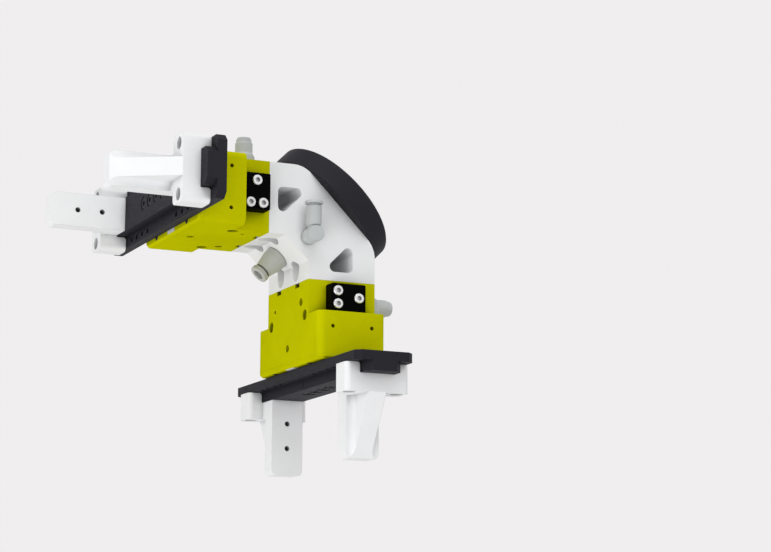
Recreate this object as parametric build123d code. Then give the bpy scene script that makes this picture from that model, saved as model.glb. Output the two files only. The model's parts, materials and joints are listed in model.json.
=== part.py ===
from build123d import *
import os
from math import acos, cos, pi, radians, sin, sqrt, tan

# Dual gripper: two identical parallel grippers on one corner bracket, bolted to a robot flange.
# Millimetres. The origin is the centre of the adapter disc's robot face, +Z is up and the robot
# axis points along (1, 0, 1). Gripper a points to -X, gripper b points to -Z, jaws move along Y.
# Each gripper is drawn once in its own axes: u along the stroke, v through the body's thickness
# towards the air fittings, w away from the mounting face at w = 0.

# Fits and gaps
RUN = 0.05              # running fit of slides and pistons, on each side
SNUG = 0.02             # located parts and threads, on the radius
CLEAR = 0.3             # parts that pass each other without touching
THROUGH = 1.0           # how far a cut runs past the face it opens

# Gripper body
AXIS_REACH = 43.7       # from the crossing of both gripper axes to each mounting face
BODY_T = 40.0
NECK_L = 59.0
NECK_H = 19.4
WIDE_H = 23.6
CORNER_R = 4.0
PLATE_T = 3.1
PLATE_CHAMFER = 1.3

# Cylinder bores and their end plugs
BORE_R = 6.5
BORE_V = 11.55
BORE_DROP = 8.45        # from the body's shoulder to the bore axis
WEB_T = 1.65            # between the bores and the jaw guide
PLUG_L = 7.0
PLUG_TAP_R = 1.1
PLUG_TAP_DEPTH = 4.0
SEAL_W = 2.0
SEAL_H = 1.3

# Jaw drive
STROKE = 20.0
STOP_GAP = 0.4
JAW_GAP = 0.3           # between the two jaws when closed
HEAD_HALF = 14.0        # the carriage's wide head, guided under the plate
HEAD_L = 20.65
FOOT_HALF = 7.0         # its foot, which passes the slot in the plate
FOOT_L = 19.65
RACK_T = 3.1
RACK_OUTER = 13.0
DRIVE_PIN_R = 2.0
DRIVE_PIN_V = 11.0
PISTON_ROD_R = 4.5
SEAL_MARGIN = 0.7       # between the drive slot's end and the piston seal
LAND_INNER = 2.0        # piston head before and behind its seal
LAND_OUTER = 1.0
PISTON_NOSE_L = 1.0
END_GAP = 0.65

# Rack and pinion
MODULE = 0.8
TEETH_PER_HALF = 7
PRESSURE_ANGLE = 20.0
RACK_ADDENDUM = 0.56
ROOT_CLEARANCE = 0.2
BACKLASH = 0.12
AXLE_R = 2.0
AXLE_DEPTH = 6.0
AXLE_PLAY = 0.03

# Jaw rails: a flange with a ridge, seen below the body
RAIL_GAP = 0.7
RAIL_L = 87.75
FLANGE_W = 33.8
FLANGE_T = 5.1
RIDGE_W = 20.0
RIDGE_T = 5.6
RAIL_CORNER = 3.3
JAW_SCREW_U = (5.5, 15.8)
JAW_SCREW_L = 12.0
JAW_SCREW_SUNK = 0.3
FINGER_HOLE_V = 13.6
FINGER_HOLE_START = 24.2
FINGER_HOLE_PITCH = 9.4
FINGER_HOLES = 6

# Printed fingers
SADDLE_BACK = 8.6       # from the finger screws to the saddle's inner edge
SADDLE_L = 15.4
SADDLE_W = 36.8
SADDLE_T = 9.8
BLADE_GAP = 4.2         # between the saddle and the blade
BLADE_T = 10.6
BLADE_W = 19.0
BLADE_L = 43.5
RIB_T = 10.1
RIB_DROP = 33.2
RIB_FOOT_R = 3.0
FINGER_EDGE_R = 3.0
SADDLE_LEG_R = 1.5
PAD_HOLE_R = 1.5
PAD_HOLE_DEPTH = 8.0
PAD_HOLE_DROP = 13.6
PAD_HOLE_PITCH = 14.3
FINGER_SCREW_SEAT = 7.0
FINGER_SCREW_L = 12.0
FINGER_POCKET_R = 3.4

# Ports, galleries and recesses of the body
PORT_U = 19.0
PORT_W = 11.5
PORT_DEPTH = 6.0
PLAIN_PORT_R = 2.2
GALLERY_R = 1.5
GALLERY_OPEN = (1.2, 8.2)
GALLERY_CLOSE = (0.6, 15.2)
FEED_R = 1.0
INLET_V = 7.2
SENSOR_HOLE_R = 1.1
SENSOR_HOLE_DEPTH = 5.0
DIMPLE_U = 24.5
DIMPLE_R = 3.0
DIMPLE_DEPTH = 1.8
VENT_R = 2.1
VENT_DEPTH = 3.2
VENT_W = 35.0
NOTCH_U = 13.5
NOTCH_L = 6.0
NOTCH_H = 2.6
NOTCH_DEPTH = 4.0

# Guide plate screws and wipers
PLATE_SCREW_U = 25.0
PLATE_SCREW_V = 16.2
PLATE_SCREW_L = 8.0
FLAT_SCREW_R = 1.25
FLAT_HEAD_R = 2.3
FLAT_SOCKET_AF = 1.5
WIPER_L = 10.5
WIPER_V = 16.5
WIPER_W = 4.2
WIPER_SUNK = 2.0
WIPER_PROUD = 0.4

# Air covers on the ends of the narrow part, places as (v, w)
COVER_T = 8.0
COVER_V = (-9.5, 10.9)
COVER_TOP_W = 2.65
COVER_EDGE = 0.6
COVER_SCREWS = ((-5.75, 6.8), (-5.75, 14.1), (6.75, 10.4))
COVER_SCREW_L = 12.0
COVER_HEAD_PROUD = 1.2

# Corner bracket
BRACKET_W = 58.9
SLOPE_BACK = 2.05       # the sloping face lies this far behind the crossing of the axes
INNER_CHAMFER = 13.5
OUTER_R = 16.0
WINDOW_LEG = 18.2
WINDOW_EDGE_V = 6.6
WINDOW_FLOOR = 5.1
WINDOW_R = 3.0
SEAT_WALL = 6.7         # the bracket's wall behind each gripper, and the walls beside its window
SIDE_WALL_V = 5.0
WINDOW_END = 19.8
GRIPPER_SCREW_IN = 7.45 # from the bracket's side faces
GRIPPER_SCREW_V = 13.05
GRIPPER_SCREW_SEAT = 5.6
GRIPPER_SCREW_L = 12.0
ACCESS_GAP = 0.5        # around a screw head in its access bore

# Adapter disc and flange pattern
DISC_R = 39.3
DISC_T = 13.2
DISC_EDGE = 0.6
FLANGE_PCD = 31.5
FLANGE_SCREW_L = 30.0
FLANGE_HOLE_GAP = 0.25
SEAT_DEPTH = 9.0
SPIGOT_R = 10.0
SPIGOT_H = 4.0
DOWEL_R = 2.5
DOWEL_SHANK_R = 3.0
DOWEL_PROUD = 5.0
DOWEL_SUNK = 8.0
STUD_R = 2.24           # an M5 thread at its pitch diameter

# Air fittings: thread, wrench base, barrel and a release collar that travels
THREAD_R = 2.5
THREAD_L = 4.5
THROAT_R = 1.2
SHOULDER_H = 1.6
TUBE_R = 3.0
TUBE_PLAY = 0.05
TUBE_SOCKET = 3.0
COLLAR_TRAVEL = 1.0
SLEEVE_T = 0.55
SLEEVE_L = 4.0
SIDE_H = 14.3
SIDE_AF = 11.3
SIDE_BASE_H = 4.0
SIDE_BASE_R = 6.2
SIDE_BARREL_R = 4.85
SIDE_NECK_R = 4.3
SIDE_TAPER_H = 0.6
SIDE_RIM_R = 3.85
SIDE_RIM_T = 2.0
SIDE_RIM_PLAY = 0.1
INNER_H = 16.1
INNER_BASE_R = 6.7
INNER_BASE_H = 4.3
INNER_MOUTH_R = 4.8
INNER_RIM_R = 5.4
INNER_RIM_T = 2.4

# Swivelling elbow on the bracket's near face
ELBOW_BACK = 20.4       # its axis, behind and below the crossing of the gripper axes
ELBOW_FOOT_R = 4.5
ELBOW_FOOT_T = 2.6
ELBOW_OUT = 12.6
ELBOW_UP = 18.7
ELBOW_ARM_R = 4.3
ELBOW_ARM_EDGE = 1.3
ELBOW_NECK_R = 3.4
ELBOW_NECK_L = 4.6
ELBOW_CAP_T = 1.2
ELBOW_RIM_R = 5.0
ELBOW_RIM_T = 1.6
SPINDLE_R = 2.6
SPINDLE_GAP = 0.2
BEAD_H = 0.4
BEAD_L = 1.3

# Cap screws: threads, and for each the head's diameter and height and the width of its socket
M3 = 3.0
M4 = 4.0
M5 = 5.0
M3_HEAD = (5.5, 3.0, 2.5)
M4_HEAD = (7.0, 4.0, 3.0)
M5_HEAD = (8.5, 5.0, 4.0)
CAP_HEADS = {M3: M3_HEAD, M4: M4_HEAD, M5: M5_HEAD}
HEAD_EDGE = 0.3

# Distances that follow from the sizes above
HALF_T = BODY_T / 2
TEETH = 2 * TEETH_PER_HALF
PITCH_R = MODULE * TEETH / 2
RACK_ROOT_V = PITCH_R + MODULE + ROOT_CLEARANCE
DRIVE_PIN_U = STROKE / 2
SLOT_END = DRIVE_PIN_U + DRIVE_PIN_R + CLEAR
GROOVE_AT = STROKE + DRIVE_PIN_R + CLEAR + SEAL_MARGIN
HEAD_END = GROOVE_AT + SEAL_W + LAND_OUTER
PISTON_HALF = HEAD_END + PISTON_NOSE_L
WIDE_HALF = DRIVE_PIN_U + PISTON_HALF + END_GAP + PLUG_L
JAW_U = JAW_GAP / 2
GUIDE_HALF = JAW_U + HEAD_L + STROKE + STOP_GAP
SLOT_HALF = JAW_U + FOOT_L + STROKE + STOP_GAP
FINGER_U = FINGER_HOLE_START + FINGER_HOLE_PITCH * (FINGER_HOLES - 1)
CROSSING = (SLOPE_BACK - DISC_T) / sqrt(2)
SEAT_N = -DISC_T - SEAT_DEPTH
FLANGE_HOLE_AT = FLANGE_PCD / 2 * cos(pi / 4)
ACCESS_R = CAP_HEADS[M5][0] / 2 + ACCESS_GAP
COLLAR_REST = COLLAR_TRAVEL + CLEAR
ARM_OUT = (ELBOW_FOOT_T + SPINDLE_GAP + ELBOW_OUT) / 2
SIDE_MOUTH = SIDE_H - SIDE_RIM_T - COLLAR_REST
INNER_MOUTH = INNER_H - INNER_RIM_T - COLLAR_REST
ARM_MOUTH = ELBOW_UP - ELBOW_RIM_T - COLLAR_REST

# Levels along w
SHOULDER_W = NECK_H
PLATE_W = SHOULDER_W + WIDE_H
UNDER_W = PLATE_W + PLATE_T
BORE_W = SHOULDER_W + BORE_DROP
FLOOR_W = BORE_W + BORE_R + WEB_T
RACK_W = FLOOR_W + CLEAR
HEAD_W = RACK_W + RACK_T + CLEAR
RAIL_W = UNDER_W + RAIL_GAP
RIDGE_W0 = RAIL_W + FLANGE_T
SADDLE_W0 = RIDGE_W0 + RIDGE_T
SADDLE_W1 = SADDLE_W0 + SADDLE_T

LOW = (Align.CENTER, Align.CENTER, Align.MIN)
HIGH = (Align.CENTER, Align.CENTER, Align.MAX)

# Each gripper's own axes in the whole, and the side of u that faces -Y, the near side
GRIPPERS = {
    "a": Plane((CROSSING - AXIS_REACH, 0, CROSSING), x_dir=(0, -1, 0), z_dir=(-1, 0, 0)),
    "b": Plane((CROSSING, 0, CROSSING - AXIS_REACH), x_dir=(0, 1, 0), z_dir=(0, 0, -1)),
}
NEAR = {"a": 1, "b": -1}
# The flange's axes: x across the slope, y along the strokes, z towards the robot
FLANGE = Plane((0, 0, 0), x_dir=(1, 0, -1), z_dir=(1, 0, 1))


def both(value):
    """The bounds of something as far on one side of the middle as on the other."""
    return (-value, value)


def block(u, v, w):
    """A box between two bounds on each axis."""
    bounds = (u, v, w)
    size = [high - low for low, high in bounds]
    middle = [(high + low) / 2 for low, high in bounds]
    return Pos(*middle) * Box(*size)


def rod(radius, start, end):
    """A round rod from one point to another."""
    path = Vector(*end) - Vector(*start)
    return Plane(start, z_dir=path) * Cylinder(radius, path.length, align=LOW)


def slab(profile, plane, low, high):
    """A flat shape in a plane, made solid between two distances along the plane's normal."""
    return extrude(plane.offset(low) * profile, high - low, dir=plane.z_dir)


def polygon(points):
    return make_face(Polyline(*points, close=True))


def hexagon(across_flats, height):
    """A hexagonal bar standing on z = 0."""
    return extrude(RegularPolygon(across_flats / 2, 6, major_radius=False), height)


def group(parts):
    """Separate solids kept together as one sub-part."""
    return Compound(children=[solid for part in parts for solid in part.solids()])


def facing(origin, outward):
    """A place for a screw: its head looks outward from here and its shank goes inward."""
    return Plane(origin, z_dir=outward).location


def cap_screw(size, length):
    """Socket head screw: head above z = 0, shank below."""
    head_d, head_h, socket_af = CAP_HEADS[size]
    head = Cylinder(head_d / 2, head_h, align=LOW)
    head = chamfer(head.edges().group_by(Axis.Z)[-1], HEAD_EDGE)
    head -= Pos(0, 0, head_h / 2) * hexagon(socket_af, head_h)
    return head + Cylinder(size / 2, length, align=HIGH)


def flat_screw(length):
    """Countersunk screw: head flush with z = 0, shank below."""
    head = Cone(FLAT_SCREW_R, FLAT_HEAD_R, FLAT_HEAD_R - FLAT_SCREW_R, align=HIGH)
    screw = head + Cylinder(FLAT_SCREW_R, length, align=HIGH)
    return screw - Pos(0, 0, FLAT_SCREW_R - FLAT_HEAD_R) * hexagon(FLAT_SOCKET_AF, BODY_T)


def screw_hole(size, length):
    """The tapped hole for a screw of that length, with a little room past its tip."""
    return Cylinder(size / 2 + SNUG, length + THROUGH, align=HIGH)


def cover_screw_places():
    seat = NECK_L / 2 + COVER_T + COVER_HEAD_PROUD - CAP_HEADS[M3][1]
    for side in (-1, 1):
        for v, w in COVER_SCREWS:
            yield facing((side * seat, v, w), (side, 0, 0))


def plate_screw_places():
    for u in both(PLATE_SCREW_U):
        for v in both(PLATE_SCREW_V):
            yield facing((u, v, UNDER_W), (0, 0, 1))


def gripper_screw_places():
    """The two screws that hold the gripper, in the bracket's outer wall beside its window."""
    for u in both(BRACKET_W / 2 - GRIPPER_SCREW_IN):
        yield facing((u, GRIPPER_SCREW_V, -GRIPPER_SCREW_SEAT), (0, 0, -1))


def jaw_screw_places():
    seat = SADDLE_W0 - CAP_HEADS[M4][1] - JAW_SCREW_SUNK
    for u in JAW_SCREW_U:
        yield facing((-u, 0, seat), (0, 0, 1))


def finger_screw_places():
    for v in both(FINGER_HOLE_V):
        yield facing((-FINGER_U, v, RIDGE_W0 + FINGER_SCREW_SEAT), (0, 0, 1))


def fitting_places():
    """The two air ports on the v side, by the side of u that they are on."""
    for side in (-1, 1):
        yield side, facing((side * PORT_U, HALF_T, PORT_W), (0, 1, 0))


def wide_outline(low, high):
    """The wide part of the body between two levels, with its round corners."""
    wide = block(both(WIDE_HALF), both(HALF_T), (low, high))
    return fillet(wide.edges().filter_by(Axis.Z), CORNER_R)


def air_feed(port_u, gallery):
    """A port on the fitting side with the slanted drilling that meets its gallery."""
    v, w = gallery
    bottom = (port_u, HALF_T - PORT_DEPTH, PORT_W)
    port = rod(THREAD_R + SNUG, bottom, (port_u, HALF_T + THROUGH, PORT_W))
    return port + rod(FEED_R, (port_u, HALF_T - PORT_DEPTH + THROUGH, PORT_W), (port_u, v, w))


def chamber_feeds():
    """Slanted drillings from the shoulder below each air cover to the ends of the bores."""
    inlet_u = (NECK_L + COVER_T) / 2
    chamber_u = WIDE_HALF - PLUG_L - FEED_R
    feeds = Part()
    for side in (-1, 1):
        for v_side in (-1, 1):
            inlet = (side * inlet_u, v_side * INLET_V, SHOULDER_W - FEED_R)
            feeds += rod(FEED_R, inlet, (side * chamber_u, v_side * BORE_V, BORE_W - BORE_R / 2))
    return feeds - block(both(WIDE_HALF), both(HALF_T), (0, SHOULDER_W))


def face_recesses():
    """The hole pattern on the face opposite the fittings and the notches in its upper edge."""
    face = -HALF_T
    recesses = [
        (PLAIN_PORT_R, -PORT_U, PORT_W, PORT_DEPTH),
        (SENSOR_HOLE_R, PORT_U, PORT_W, SENSOR_HOLE_DEPTH),
        (VENT_R, 0, VENT_W, VENT_DEPTH),
        (DIMPLE_R, -DIMPLE_U, SHOULDER_W, DIMPLE_DEPTH),
        (DIMPLE_R, DIMPLE_U, SHOULDER_W, DIMPLE_DEPTH),
    ]
    cuts = Part()
    for radius, u, w, depth in recesses:
        cuts += rod(radius, (u, face - THROUGH, w), (u, face + depth, w))
    for u in both(NOTCH_U):
        reach = (u - NOTCH_L / 2, u + NOTCH_L / 2)
        cuts += block(reach, (face - THROUGH, face + NOTCH_DEPTH), (-THROUGH, NOTCH_H))
    return cuts


def housing():
    """The body: a narrow block with air galleries on a wide block with bores and jaw guide."""
    body = block(both(NECK_L / 2), both(HALF_T), (0, SHOULDER_W))
    body += wide_outline(SHOULDER_W, PLATE_W)
    for v in both(BORE_V):
        body -= rod(BORE_R, (-WIDE_HALF - THROUGH, v, BORE_W), (WIDE_HALF + THROUGH, v, BORE_W))
    for v in both(DRIVE_PIN_V):
        half = DRIVE_PIN_R + CLEAR
        body -= block(both(SLOT_END), (v - half, v + half), (BORE_W, FLOOR_W + THROUGH))
    body -= block(both(GUIDE_HALF), both(HEAD_HALF + RUN), (FLOOR_W, PLATE_W + THROUGH))
    body -= rod(AXLE_R + SNUG, (0, 0, FLOOR_W - AXLE_DEPTH), (0, 0, FLOOR_W + THROUGH))
    for v, w in (GALLERY_OPEN, GALLERY_CLOSE):
        body -= rod(GALLERY_R, (-NECK_L / 2 - THROUGH, v, w), (NECK_L / 2 + THROUGH, v, w))
    body -= air_feed(-PORT_U, GALLERY_OPEN)
    body -= air_feed(PORT_U, GALLERY_CLOSE)
    body -= chamber_feeds()
    body -= face_recesses()
    for place in cover_screw_places():
        body -= place * screw_hole(M3, COVER_SCREW_L)
    for place in gripper_screw_places():
        body -= place * screw_hole(M5, GRIPPER_SCREW_L)
    for place in plate_screw_places():
        body -= place * screw_hole(2 * FLAT_SCREW_R, PLATE_SCREW_L)
    narrow = block(both(WIDE_HALF), both(HALF_T), (0, SHOULDER_W))
    return group([body & narrow, body - narrow])


def guide_plate():
    """The plate that closes the jaw guide, slotted for the carriages' feet."""
    plate = wide_outline(PLATE_W, UNDER_W)
    plate = chamfer(plate.edges().group_by(Axis.Z)[-1], PLATE_CHAMFER)
    plate -= block(both(SLOT_HALF), both(FOOT_HALF + CLEAR), (PLATE_W - THROUGH, UNDER_W + THROUGH))
    for v in both(WIPER_V):
        plate -= block(
            both(WIPER_L / 2),
            (v - WIPER_W / 2, v + WIPER_W / 2),
            (UNDER_W - WIPER_SUNK, UNDER_W + THROUGH),
        )
    head_h = FLAT_HEAD_R - FLAT_SCREW_R
    for place in plate_screw_places():
        plate -= place * Cylinder(FLAT_SCREW_R + SNUG, PLATE_T + THROUGH, align=HIGH)
        plate -= place * Cone(FLAT_SCREW_R + SNUG, FLAT_HEAD_R + SNUG, head_h, align=HIGH)
    return plate


def guide_wipers():
    """Soft strips that stand a little proud of the guide plate, under the rails."""
    for v in both(WIPER_V):
        width = (v - WIPER_W / 2, v + WIPER_W / 2)
        yield block(both(WIPER_L / 2), width, (UNDER_W - WIPER_SUNK, UNDER_W + WIPER_PROUD))


def air_covers():
    """The black covers over the gallery ends, one on each end of the narrow part."""
    head_d, head_h, _ = CAP_HEADS[M3]
    cover_end = NECK_L / 2 + COVER_T
    covers = block(both(cover_end), COVER_V, (COVER_TOP_W, SHOULDER_W))
    upper_edges = covers.edges().filter_by(Axis.X).group_by(Axis.Z)[0]
    covers = chamfer(upper_edges, COVER_EDGE)
    covers -= block(both(NECK_L / 2), COVER_V, (COVER_TOP_W, SHOULDER_W))
    for place in cover_screw_places():
        covers -= place * screw_hole(M3, COVER_T)
        covers -= place * Cylinder(head_d / 2 + SNUG, head_h, align=LOW)
    return covers


def bore_plugs():
    """The plugs that close the bores, flush with the body's ends, grooved for a seal."""
    for side in (-1, 1):
        for v in both(BORE_V):
            inner = side * (WIDE_HALF - PLUG_L)
            outer = side * WIDE_HALF
            groove_at = side * (WIDE_HALF - PLUG_L + SEAL_W)
            plug = rod(BORE_R - SNUG, (inner, v, BORE_W), (outer, v, BORE_W))
            plug -= seal_ring(groove_at, v, BORE_R + THROUGH)
            plug -= rod(
                PLUG_TAP_R,
                (outer - side * PLUG_TAP_DEPTH, v, BORE_W),
                (outer + side * THROUGH, v, BORE_W),
            )
            yield plug & wide_outline(SHOULDER_W, PLATE_W)


def seal_ring(middle_u, v, outer_r):
    """A seal, or the groove for it, round a bore's axis."""
    start = (middle_u - SEAL_W / 2, v, BORE_W)
    end = (middle_u + SEAL_W / 2, v, BORE_W)
    return rod(outer_r, start, end) - rod(BORE_R - SEAL_H, start, end)


def plug_seals():
    for side in (-1, 1):
        for v in both(BORE_V):
            yield seal_ring(side * (WIDE_HALF - PLUG_L + SEAL_W), v, BORE_R - SNUG)


def rack_profile():
    """The rack bar in (u, v), its teeth towards the pinion, drawn for the closed jaw."""
    pitch = pi * MODULE
    slope = tan(radians(PRESSURE_ANGLE))
    half_tooth = (pitch / 2 - BACKLASH) / 2
    root_half = half_tooth + slope * (RACK_ROOT_V - PITCH_R)
    tip_half = half_tooth - slope * RACK_ADDENDUM
    tip_v = PITCH_R - RACK_ADDENDUM
    last = int(STROKE / pitch) + 2
    points = [(-JAW_U - HEAD_L, RACK_OUTER), (-JAW_U - HEAD_L, RACK_ROOT_V)]
    for index in range(-1, last + 1):
        middle = index * pitch
        points += [
            (middle - root_half, RACK_ROOT_V),
            (middle - tip_half, tip_v),
            (middle + tip_half, tip_v),
            (middle + root_half, RACK_ROOT_V),
        ]
    end = (last + 1) * pitch
    return polygon(points + [(end, RACK_ROOT_V), (end, RACK_OUTER)])


def pinion():
    """Involute pinion with a gap facing each rack's middle tooth."""
    base_r = PITCH_R * cos(radians(PRESSURE_ANGLE))
    tip_r = PITCH_R + MODULE
    root_r = PITCH_R - RACK_ADDENDUM - ROOT_CLEARANCE
    pressure = radians(PRESSURE_ANGLE)

    def half_angle(radius):
        """Half a tooth's thickness at a radius, as an angle at the pinion's axis."""
        at = acos(min(1.0, base_r / radius))
        at_pitch = pi / (2 * TEETH) - BACKLASH / (2 * PITCH_R)
        return at_pitch + (tan(pressure) - pressure) - (tan(at) - at)

    def flank(middle, side):
        """Three points up one flank of a tooth."""
        low = max(base_r, root_r)
        for radius in (low, (low + tip_r) / 2, tip_r):
            angle = middle + side * half_angle(radius)
            yield (radius * cos(angle), radius * sin(angle))

    def root_point(middle, side):
        angle = middle + side * half_angle(base_r)
        return (root_r * cos(angle), root_r * sin(angle))

    edges = []
    step = 2 * pi / TEETH
    for index in range(TEETH):
        middle = pi / 2 + (index + 0.5) * step
        rising = list(flank(middle, -1))
        falling = list(flank(middle, 1))
        falling.reverse()
        edges.append(Line(root_point(middle, -1), rising[0]))
        edges.append(ThreePointArc(*rising))
        edges.append(Line(rising[-1], falling[0]))
        edges.append(ThreePointArc(*falling))
        edges.append(Line(falling[-1], root_point(middle, 1)))
        edges.append(Line(root_point(middle, 1), root_point(middle + step, -1)))
    outline = make_face([part.edge() for part in edges])
    wheel = slab(outline, Plane.XY, RACK_W, RACK_W + RACK_T)
    return wheel - rod(AXLE_R + AXLE_PLAY, (0, 0, FLOOR_W), (0, 0, HEAD_W))


def pinion_axle():
    return rod(AXLE_R, (0, 0, FLOOR_W - AXLE_DEPTH), (0, 0, HEAD_W - CLEAR / 2))


def carriage():
    """The steel slide inside the body: wide head, foot for the rail and a rack past the middle."""
    head_u = (-JAW_U - HEAD_L, -JAW_U)
    foot_u = (-JAW_U - FOOT_L, -JAW_U)
    head_top = PLATE_W - RUN
    slide = block(head_u, both(HEAD_HALF), (HEAD_W, head_top))
    slide += block(foot_u, both(FOOT_HALF), (head_top, RAIL_W))
    slide += block(head_u, (RACK_ROOT_V, RACK_OUTER), (RACK_W, HEAD_W))
    slide += slab(rack_profile(), Plane.XY, RACK_W, RACK_W + RACK_T)
    pin = (DRIVE_PIN_U, DRIVE_PIN_V, RACK_W - THROUGH)
    slide -= rod(DRIVE_PIN_R + SNUG, pin, (DRIVE_PIN_U, DRIVE_PIN_V, HEAD_W))
    for place in jaw_screw_places():
        slide -= place * screw_hole(M4, JAW_SCREW_L)
    return slide


def piston():
    """Double-headed piston with the pin that drives the carriage."""

    def at(u):
        return (DRIVE_PIN_U + u, BORE_V, BORE_W)

    body = rod(PISTON_ROD_R, at(-PISTON_HALF), at(PISTON_HALF))
    for side in (-1, 1):
        body += rod(BORE_R - RUN, at(side * (GROOVE_AT - LAND_INNER)), at(side * HEAD_END))
        body -= seal_ring(piston_seal_u(side), BORE_V, BORE_R + THROUGH)
    pin_top = (DRIVE_PIN_U, DRIVE_PIN_V, RACK_W + RACK_T)
    return body + rod(DRIVE_PIN_R, (DRIVE_PIN_U, DRIVE_PIN_V, BORE_W), pin_top)


def piston_seal_u(side):
    return DRIVE_PIN_U + side * (GROOVE_AT + SEAL_W / 2)


def piston_seals():
    for side in (-1, 1):
        yield seal_ring(piston_seal_u(side), BORE_V, BORE_R - SNUG)


def bar_with_cut_corners(width, low, high):
    """One layer of a jaw rail, the corners of its outer end cut off."""
    bar = block((-JAW_U - RAIL_L, -JAW_U), both(width / 2), (low, high))
    corners = bar.edges().filter_by(Axis.Z).group_by(Axis.X)[0]
    return chamfer(corners, RAIL_CORNER)


def jaw_rail():
    """The long dark rail with its ridge and the rows of finger holes."""
    rail = bar_with_cut_corners(FLANGE_W, RAIL_W, RIDGE_W0)
    rail += bar_with_cut_corners(RIDGE_W, RIDGE_W0, SADDLE_W0)
    head_d, head_h, _ = CAP_HEADS[M4]
    for place in jaw_screw_places():
        rail -= place * screw_hole(M4, JAW_SCREW_L)
        rail -= place * Cylinder(head_d / 2 + CLEAR, head_h + THROUGH, align=LOW)
    for index in range(FINGER_HOLES):
        u = -(FINGER_HOLE_START + index * FINGER_HOLE_PITCH)
        for v in both(FINGER_HOLE_V):
            rail -= rod(M3 / 2 + SNUG, (u, v, RAIL_W - THROUGH), (u, v, RIDGE_W0 + THROUGH))
    return rail


def finger():
    """Printed finger: a saddle over the rail, a ribbed blade and two holes for a pad."""
    inner = SADDLE_BACK - FINGER_U
    outer = inner - SADDLE_L
    back = inner + BLADE_GAP
    face = back + BLADE_T
    saddle = block((outer, inner), both(SADDLE_W / 2), (RIDGE_W0, SADDLE_W1))
    saddle = fillet(saddle.edges().filter_by(Axis.Z), FINGER_EDGE_R)
    saddle -= block((outer, inner), both(RIDGE_W / 2 + CLEAR), (RIDGE_W0, SADDLE_W0))
    leg_edges = saddle.edges().filter_by(Axis.X).group_by(Axis.Z)[0].sort_by(Axis.Y)
    saddle = fillet(leg_edges[1:-1], SADDLE_LEG_R)
    neck_u = (inner - FINGER_EDGE_R, back + FINGER_EDGE_R)
    neck = block(neck_u, both(BLADE_W / 2), (SADDLE_W0, SADDLE_W1))
    blade = block((back, face), both(BLADE_W / 2), (SADDLE_W0, SADDLE_W0 + BLADE_L))
    tip = blade.edges().filter_by(Axis.X).group_by(Axis.Z)[-1]
    blade = fillet(tip, FINGER_EDGE_R)
    rib = polygon(
        [
            (back + FINGER_EDGE_R, SADDLE_W0 + SADDLE_T / 2),
            (outer, SADDLE_W0 + SADDLE_T / 2),
            (outer, SADDLE_W1),
            (back, SADDLE_W1 + RIB_DROP),
            (back + FINGER_EDGE_R, SADDLE_W1 + RIB_DROP),
        ]
    )
    blade += slab(rib, Plane.XZ, -RIB_T / 2, RIB_T / 2)
    foot = [
        edge
        for edge in blade.edges().filter_by(Axis.Z)
        if abs(edge.center().X - back) < CLEAR and abs(abs(edge.center().Y) - RIB_T / 2) < CLEAR
    ]
    blade = fillet(foot, RIB_FOOT_R)
    body = saddle + neck + blade
    for w in (PAD_HOLE_DROP, PAD_HOLE_DROP + PAD_HOLE_PITCH):
        hole_w = SADDLE_W0 + w
        body -= rod(PAD_HOLE_R, (face - PAD_HOLE_DEPTH, 0, hole_w), (face + THROUGH, 0, hole_w))
    for place in finger_screw_places():
        body -= place * Cylinder(M3 / 2 + CLEAR / 2, FINGER_SCREW_SEAT, align=HIGH)
        body -= place * Cylinder(FINGER_POCKET_R, SADDLE_L, align=LOW)
    return body


def bracket_outline():
    """The bracket's outline in (x, z) about the crossing of the gripper axes."""
    slope = -SLOPE_BACK * sqrt(2)
    notch = HALF_T + INNER_CHAMFER
    face = polygon(
        [
            (-AXIS_REACH, -HALF_T),
            (-AXIS_REACH, HALF_T),
            (slope - HALF_T, HALF_T),
            (HALF_T, slope - HALF_T),
            (HALF_T, -AXIS_REACH),
            (-HALF_T, -AXIS_REACH),
            (-HALF_T, -notch),
            (-notch, -HALF_T),
        ]
    )
    slope_ends = sorted(face.vertices(), key=lambda corner: corner.X + corner.Y)[-2:]
    return fillet(slope_ends, OUTER_R)


def window_outline(gripper):
    """The triangular window behind a gripper's mounting face, in (x, z) about the crossing."""
    floor = WINDOW_FLOOR - AXIS_REACH
    corners = [
        (floor, WINDOW_EDGE_V),
        (floor + WINDOW_LEG, WINDOW_EDGE_V),
        (floor, WINDOW_EDGE_V - WINDOW_LEG),
    ]
    if gripper == "b":
        corners = [(z, x) for x, z in corners]
    face = polygon(corners)
    return fillet(face.vertices(), WINDOW_R)


def flange_screw_places():
    for x in both(FLANGE_HOLE_AT):
        for y in both(FLANGE_HOLE_AT):
            yield FLANGE.location * facing((x, y, SEAT_N), (0, 0, -1))


def elbow_place():
    """On the bracket's near face: y of this place is up, z points away from the bracket."""
    at = CROSSING - ELBOW_BACK
    return Plane((at, -BRACKET_W / 2, at), x_dir=(1, 0, 0), z_dir=(0, -1, 0)).location


def inner_fitting_place():
    """On the chamfer in the bracket's inner corner, away from the robot."""
    from_crossing = (2 * HALF_T + INNER_CHAMFER) / sqrt(2)
    depth = CROSSING * sqrt(2) - from_crossing
    return FLANGE.location * facing((0, 0, depth), (0, 0, -1))


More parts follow.
